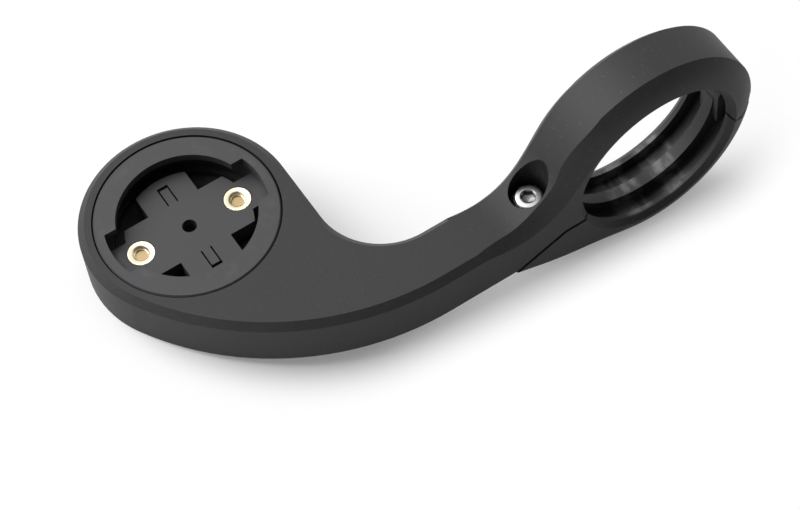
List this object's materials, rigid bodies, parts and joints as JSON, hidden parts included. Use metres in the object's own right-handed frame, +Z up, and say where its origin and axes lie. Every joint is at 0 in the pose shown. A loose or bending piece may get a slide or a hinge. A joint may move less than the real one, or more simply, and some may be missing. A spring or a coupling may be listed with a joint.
{
  "type": "bicycle computer mount",
  "caption": "Out-front bicycle computer mount: hinged handlebar clamp, sickle-shaped arm and a round quarter-turn socket.",
  "frame": {"origin": "centre of the handlebar bore, half-way along it", "axes": "+Y along the handlebar towards the side the arm bends away from, +X forward from the bar to the computer, +Z up, square to the round socket's face"},
  "size_m": [0.1175, 0.0575, 0.0442],
  "materials": {
    "moulded_nylon": "fine matte texture",
    "socket_nylon": "satin, a little lighter than the arm",
    "bolt_steel": "bright zinc-plated",
    "pin_steel": "ground",
    "insert_brass": "turned and knurled",
    "black_steel": "black oxide"
  },
  "bodies": {
    "arm": {"arm_body": "moulded_nylon", "computer_socket": "socket_nylon", "threaded_insert_left": "insert_brass", "threaded_insert_right": "insert_brass", "socket_screw_left": "black_steel", "socket_screw_right": "black_steel", "hinge_pin": "pin_steel"},
    "strap": {"clamp_strap": "moulded_nylon", "clamp_nut": "bolt_steel"},
    "bolt": {"clamp_bolt": "bolt_steel"}
  },
  "joints": [
    {"name": "strap_hinge", "type": "hinge", "parent": "arm", "child": "strap", "pos_m": [-0.0188, 0, 0.0006], "axis": [0, 1, 0], "range_deg": [0, 85]},
    {"name": "bolt_draw", "type": "slide", "parent": "arm", "child": "bolt", "axis": [0, 0, 1], "range_m": [0, 0.014]}
  ]
}
